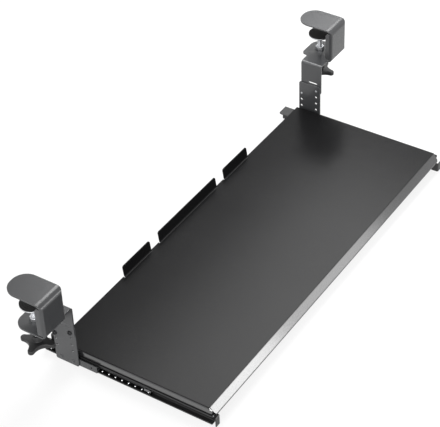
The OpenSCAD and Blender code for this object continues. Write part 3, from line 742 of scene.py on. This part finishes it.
class TRAY_OT_balls(bpy.types.Operator):
    """Makes the two slides' bearing balls"""
    bl_idname = "keytray.balls"
    bl_label = "Bearing balls"

    def execute(self, context):
        p = context.scene.tray_finishes
        steel = finish("ball_steel", polished_steel, colour=tuple(p.ball), roughness=0.14)
        ball_r, per_row = 1.6, 16
        for side in SIDES:
            low, high = box_mm(f"{side}_balls")
            ys = np.linspace(low[1] + ball_r, high[1] - ball_r, per_row)
            x = (low[0] + high[0]) / 2
            zs = (low[2] + ball_r, high[2] - ball_r)
            parts = [moved(ball(ball_r), (x, y, z)) for y in ys for z in zs]
            piece(f"{side}_bearing_balls", parts, f"{side}_cage", steel, [f"{side}_balls"])
        return {"FINISHED"}


class TRAY_OT_clamp_screws(bpy.types.Operator):
    """Cuts the threads of the clamp screws, with a plain spigot on top"""
    bl_idname = "keytray.clamp_screws"
    bl_label = "Clamp screws"

    def execute(self, context):
        p = in_mm(context.scene.tray_hardware)
        columns, thread_r, chamfer = 40, 3.95, 0.9
        spigot_r, spigot_h, tip_chamfer = 2.5, 4.0, 0.4
        for side in SIDES:
            node = f"{side}_clamp_screw"
            low, high = span(node)
            x, y, _ = middle(node)
            neck = high - spigot_h
            rod = threaded(thread_r, p.thread_depth, p.thread_pitch, low, neck, chamfer, columns)
            tip = lathe([
                (spigot_r, neck), (spigot_r, high - tip_chamfer), (spigot_r - tip_chamfer, high)], columns)
            part = moved(capped(np.concatenate([rod, tip])), (x, y, 0.0))
            piece(f"{side}_threaded_screw", [part], f"{side}_screw", zinc(), [node])
        return {"FINISHED"}


class TRAY_OT_knobs(bpy.types.Operator):
    """Moulds the four-lobed knobs"""
    bl_idname = "keytray.knobs"
    bl_label = "Knobs"

    def execute(self, context):
        p = in_mm(context.scene.tray_hardware)
        bore, turns = 3.98, {"left": 12.0, "right": 2.0}
        for side in SIDES:
            node = f"{side}_knob"
            x, y, _ = middle(f"{side}_clamp_screw")
            low, _ = span(node)
            screw_end, _ = span(f"{side}_clamp_screw")
            part = moved(lobed_knob(p, bore, screw_end - low, turns[side]), (x, y, low))
            piece(f"{side}_lobed_knob", [part], f"{side}_screw", plastic(), [node])
        return {"FINISHED"}


class TRAY_OT_feet(bpy.types.Operator):
    """Turns the pressure plates and moulds the grooved pads on them"""
    bl_idname = "keytray.feet"
    bl_label = "Pressure feet"

    def execute(self, context):
        p = in_mm(context.scene.tray_hardware)
        columns, edge, boss_r, boss_h, bore, bore_end = 72, 0.6, 6.0, 4.0, 2.55, 0.1
        fillet, fillet_mid = 0.8, 0.25
        pad_columns, pad_ribs, pad_edge = 96, 5, 0.4
        for side in SIDES:
            node = f"{side}_pressure_plate"
            x, y, _ = middle(node)
            low, high = span(node)
            corner, opposite = box_mm(node)
            wide = (opposite[0] - corner[0]) / 2
            under = low + boss_h
            profile = np.vstack([
                [[bore, under - bore_end], [bore, low]],
                round_over(boss_r, low + edge, edge, -90.0),
                [[boss_r, under - fillet], [boss_r + fillet_mid, under - fillet_mid]],
                [[boss_r + fillet, under]],
                round_over(wide, under + edge, edge, -90.0),
                round_over(wide, high - edge, edge, 0.0),
            ])
            part = moved(capped(lathe(profile, columns)), (x, y, 0.0))
            piece(f"{side}_foot_plate", [part], f"{side}_foot", zinc(), [node])
            node = f"{side}_pressure_pad"
            low, high = span(node)
            a = angles(pad_columns)
            outline = wide * np.stack([np.cos(a), np.sin(a)], axis=-1)
            points, quads, tris = ribbed_pad(outline, high - low, pad_ribs, p.pad_groove, pad_edge)
            flipped = points * [1.0, -1.0, -1.0]
            part = moved((flipped, quads, tris), (x, y, high))
            piece(f"{side}_foot_pad", [part], f"{side}_foot", rubber(), [node])
        return {"FINISHED"}


class TRAY_OT_top_pads(bpy.types.Operator):
    """Moulds the grooved pads under the clamps' top plates"""
    bl_idname = "keytray.top_pads"
    bl_label = "Top pads"

    def execute(self, context):
        p = in_mm(context.scene.tray_hardware)
        rear_corner, front_corner, ribs, edge = 21.0, 1.0, 6, 0.4
        for side in SIDES:
            node = f"{side}_top_pad"
            low, high = box_mm(node)
            wide, deep, thick = high - low
            x, y, _ = middle(node)
            outline = d_outline(wide, deep, rear_corner, front_corner) - [0.0, deep / 2]
            part = moved(ribbed_pad(outline, thick, ribs, p.pad_groove, edge), (x, y, low[2]))
            piece(f"{side}_clamp_pad", [part], "frame", rubber(), [node])
        return {"FINISHED"}


class TRAY_OT_bracket_screws(bpy.types.Operator):
    """Makes the pan-head screws that set the tray's height"""
    bl_idname = "keytray.bracket_screws"
    bl_label = "Bracket screws"

    def execute(self, context):
        p = context.scene.tray_finishes
        cut_ends = (0.3455, tuple(p.zinc))  # half width in metres, colour
        black = finish("black_screw", plated_steel, colour=tuple(p.screw), roughness=0.42, edge_radius=0.0002,
            cut=cut_ends)
        recess = in_mm(context.scene.tray_hardware).recess
        screw = laid_along_x(pan_screw(shank_r=2.0, shank_len=4.5, head_r=3.75, head_h=2.4, recess=recess))
        shank_end, holes = 345.0, ((4.0, -106.5), (32.5, -119.2))
        parts = [moved(screw, (shank_end, y, z)) for y, z in holes]
        piece("pan_head_screws", both_sides(parts), "frame", black, ["bracket_screws"])
        return {"FINISHED"}


class TRAY_OT_rivets(bpy.types.Operator):
    """Sets the domed rivets of the channels and the runners"""
    bl_idname = "keytray.rivets"
    bl_label = "Rivets"

    def execute(self, context):
        height = middle("channel_rivets")[2]
        channel_ys, runner_ys, shank_r = (-226.0, -87.0, 52.0), (6.0, 27.0), 1.5
        flat = laid_along_x(rivet(shank_r, low=331.0, high=333.7, low_head=(3.0, 0.6), high_head=(3.0, 0.6)))
        parts = [moved(flat, (0.0, y, height)) for y in channel_ys]
        piece("channel_rivet_set", both_sides(parts), "tray", zinc(), ["channel_rivets"])
        domed = laid_along_x(rivet(shank_r, low=343.5, high=347.0, low_head=(1.9, 0.6), high_head=(3.0, 1.2)))
        parts = [moved(domed, (0.0, y, height)) for y in runner_ys]
        piece("runner_rivet_set", both_sides(parts), "frame", clamp_coat(), ["runner_rivets"])
        return {"FINISHED"}


class TRAY_OT_studs(bpy.types.Operator):
    """Cuts the studs under the tray and makes the nuts that hold the rails on them"""
    bl_idname = "keytray.studs"
    bl_label = "Studs and nuts"

    def execute(self, context):
        p = in_mm(context.scene.tray_hardware)
        rail_x, stud_ys = 315.5, (-187.0, -91.0, 5.0)
        spots = [(rail_x, y, 0.0) for y in stud_ys]
        low, high = span("rail_studs")
        stud = capped(threaded(
            radius=2.0, depth=0.4, pitch=p.stud_pitch, low=low, high=high, chamfer=0.5, columns=24))
        studs = both_sides([moved(stud, at) for at in spots])
        piece("threaded_studs", studs, "tray", zinc(), ["rail_studs"])
        low, high = span("rail_nuts")
        nut = hex_nut(flats=7.0, bore=2.1, low=low, high=high)
        nuts = both_sides([moved(nut, at) for at in spots])
        piece("rail_hex_nuts", nuts, "tray", zinc(), ["rail_nuts"])
        return {"FINISHED"}


class TRAY_OT_jaw_nuts(bpy.types.Operator):
    """Makes the nuts welded on the clamps' lower jaws"""
    bl_idname = "keytray.jaw_nuts"
    bl_label = "Jaw nuts"

    def execute(self, context):
        for side in SIDES:
            node = f"{side}_jaw_nut"
            x, y, _ = middle(node)
            low, high = span(node)
            part = moved(hex_nut(flats=13.0, bore=4.0, low=low, high=high), (x, y, 0.0))
            piece(f"{side}_weld_nut", [part], "frame", zinc(), [node])
        return {"FINISHED"}


# Studio

# Each softbox's power in TrayStudio, place, aim (None for the part's middle) and size, in metres
SOFTBOXES = {
    "front_left_softbox": ("key", (-1.9, -1.3, 1.3), None, (1.6, 1.6)),
    "left_side_softbox": ("side", (-1.45, -0.30, 0.22), (-0.36, 0.02, -0.11), (0.7, 0.7)),
    "low_front_strip": ("strip", (0.0, -0.59, 0.05), (0.0, -0.23, -0.15), (0.313, 0.167)),
    "far_front_strip": ("far_strip", (0.34, -0.59, 0.05), (0.34, -0.23, -0.15), (0.35, 0.167)),
    "sheen_softbox": ("sheen", (0.65, 0.155, 0.75), (0.65, 0.005, -0.15), (1.16, 0.6)),
    "high_rear_softbox": ("back", (-1.2, 1.3, 1.5), None, (1.4, 1.4)),
}
WHITE = rgba((1.0, 1.0, 1.0))


def seen_rays(nodes):
    """1 for rays from the camera, off a gloss or through glass, which see the plain background."""
    camera, gloss, glass = (
        nodes.node("ShaderNodeLightPath", {}, {}, out=f"Is {ray} Ray")
        for ray in ("Camera", "Glossy", "Transmission"))
    return camera.or_more(gloss).or_more(glass)


class TRAY_OT_studio(bpy.types.Operator):
    """Lays the floor, sets the lights and the camera"""
    bl_idname = "keytray.studio"
    bl_label = "Studio"

    def execute(self, context):
        scene = context.scene
        p = scene.tray_studio
        scene.view_settings.view_transform = "Standard"
        self.floor(scene, p)
        self.world(scene, p)
        self.softboxes(scene, p)
        self.camera(scene, p)
        return {"FINISHED"}

    def floor(self, scene, p):
        """A square of pale floor just under the part, plain white to the rays that see it."""
        half, gap = 8.0, 0.0004
        plan = half * np.array([[-1.0, -1.0], [1.0, -1.0], [1.0, 1.0], [-1.0, 1.0]])
        level = np.full((4, 1), cad_low[2] - gap)
        mesh = bpy.data.meshes.new("floor")
        mesh.from_pydata(np.hstack([plan, level]).tolist(), [], [(0, 1, 2, 3)])
        paint = Coat("pale_floor", Base_Color=rgba(p.floor), Roughness=0.9, Specular_IOR_Level=0.1)
        white = paint.node("ShaderNodeEmission", {}, {"Color": WHITE, "Strength": 1.0})
        shown = paint.node("ShaderNodeMixShader", {}, {
            0: seen_rays(paint) * p.floor_white, 1: Value(paint, paint.surface.outputs[0]), 2: white})
        paint.fill(paint.tree.nodes["Material Output"].inputs["Surface"], shown)
        mesh.materials.append(paint.material)
        made = bpy.data.objects.new("floor", mesh)
        scene.collection.objects.link(made)

    def world(self, scene, p):
        """White surroundings: one strength lights the part, another is what is seen of them."""
        world = bpy.data.worlds.new("white_room")
        world.use_nodes = True
        nodes = Nodes(world.node_tree)
        light, seen = (
            nodes.node("ShaderNodeBackground", {}, {"Color": WHITE, "Strength": power})
            for power in (p.world, p.backdrop))
        shown = nodes.node("ShaderNodeMixShader", {}, {0: seen_rays(nodes), 1: light, 2: seen})
        nodes.fill(world.node_tree.nodes["World Output"].inputs["Surface"], shown)
        scene.world = world

    def softboxes(self, scene, p):
        """The softboxes of the table, each turned to its aim."""
        centre = (Vector(cad_low) + Vector(cad_high)) / 2
        for name, (power, at, aim, across) in SOFTBOXES.items():
            lamp = bpy.data.lights.new(name, "AREA")
            lamp.shape = "RECTANGLE"
            lamp.size, lamp.size_y = across
            lamp.energy = getattr(p, power)
            made = bpy.data.objects.new(name, lamp)
            made.location = at
            made.rotation_euler = (Vector(aim or centre) - Vector(at)).to_track_quat("-Z", "Y").to_euler()
            scene.collection.objects.link(made)

    def camera(self, scene, p):
        """The camera, where it was found by fitting the tray's edges to the photo."""
        place, turns = (-1.59690, -1.12199, 1.45919), (50.79141, 1.88183, -57.03779)
        camera = bpy.data.cameras.new("photo_camera")
        camera.sensor_width = 36.0
        camera.lens = p.lens
        camera.clip_start, camera.clip_end = 0.05, 50.0
        made = bpy.data.objects.new("photo_camera", camera)
        made.location = place
        made.rotation_euler = [math.radians(turn) for turn in turns]
        scene.collection.objects.link(made)
        scene.camera = made


PIECES = (
    TRAY_OT_tray, TRAY_OT_clamps, TRAY_OT_slides, TRAY_OT_balls, TRAY_OT_clamp_screws, TRAY_OT_knobs,
    TRAY_OT_feet, TRAY_OT_top_pads, TRAY_OT_bracket_screws, TRAY_OT_rivets, TRAY_OT_studs, TRAY_OT_jaw_nuts,
    TRAY_OT_studio,
)
GROUPS = {"tray_finishes": TrayFinishes, "tray_hardware": TrayHardware, "tray_studio": TrayStudio}


class TRAY_PT_looks(bpy.types.Panel):
    """Lists the tray's pieces, sizes and colours"""
    bl_idname = "TRAY_PT_looks"
    bl_label = "Keyboard tray"
    bl_space_type = "VIEW_3D"
    bl_region_type = "UI"
    bl_category = "Tray"

    def draw(self, context):
        for made in PIECES:
            self.layout.operator(made.bl_idname)
        for name, group in GROUPS.items():
            box = self.layout.box()
            box.label(text=group.__doc__)
            for key in group.__annotations__:
                box.prop(getattr(context.scene, name), key)


CLASSES = (*GROUPS.values(), *PIECES, TRAY_PT_looks)


def register():
    for made in CLASSES:
        bpy.utils.register_class(made)
    for name, group in GROUPS.items():
        setattr(bpy.types.Scene, name, bpy.props.PointerProperty(type=group))


def unregister():
    for name in GROUPS:
        delattr(bpy.types.Scene, name)
    for made in reversed(CLASSES):
        bpy.utils.unregister_class(made)


def main():
    register()
    for made in PIECES:
        name = made.bl_idname.split(".")[1]
        getattr(bpy.ops.keytray, name)()


if __name__ == "__main__":
    main()
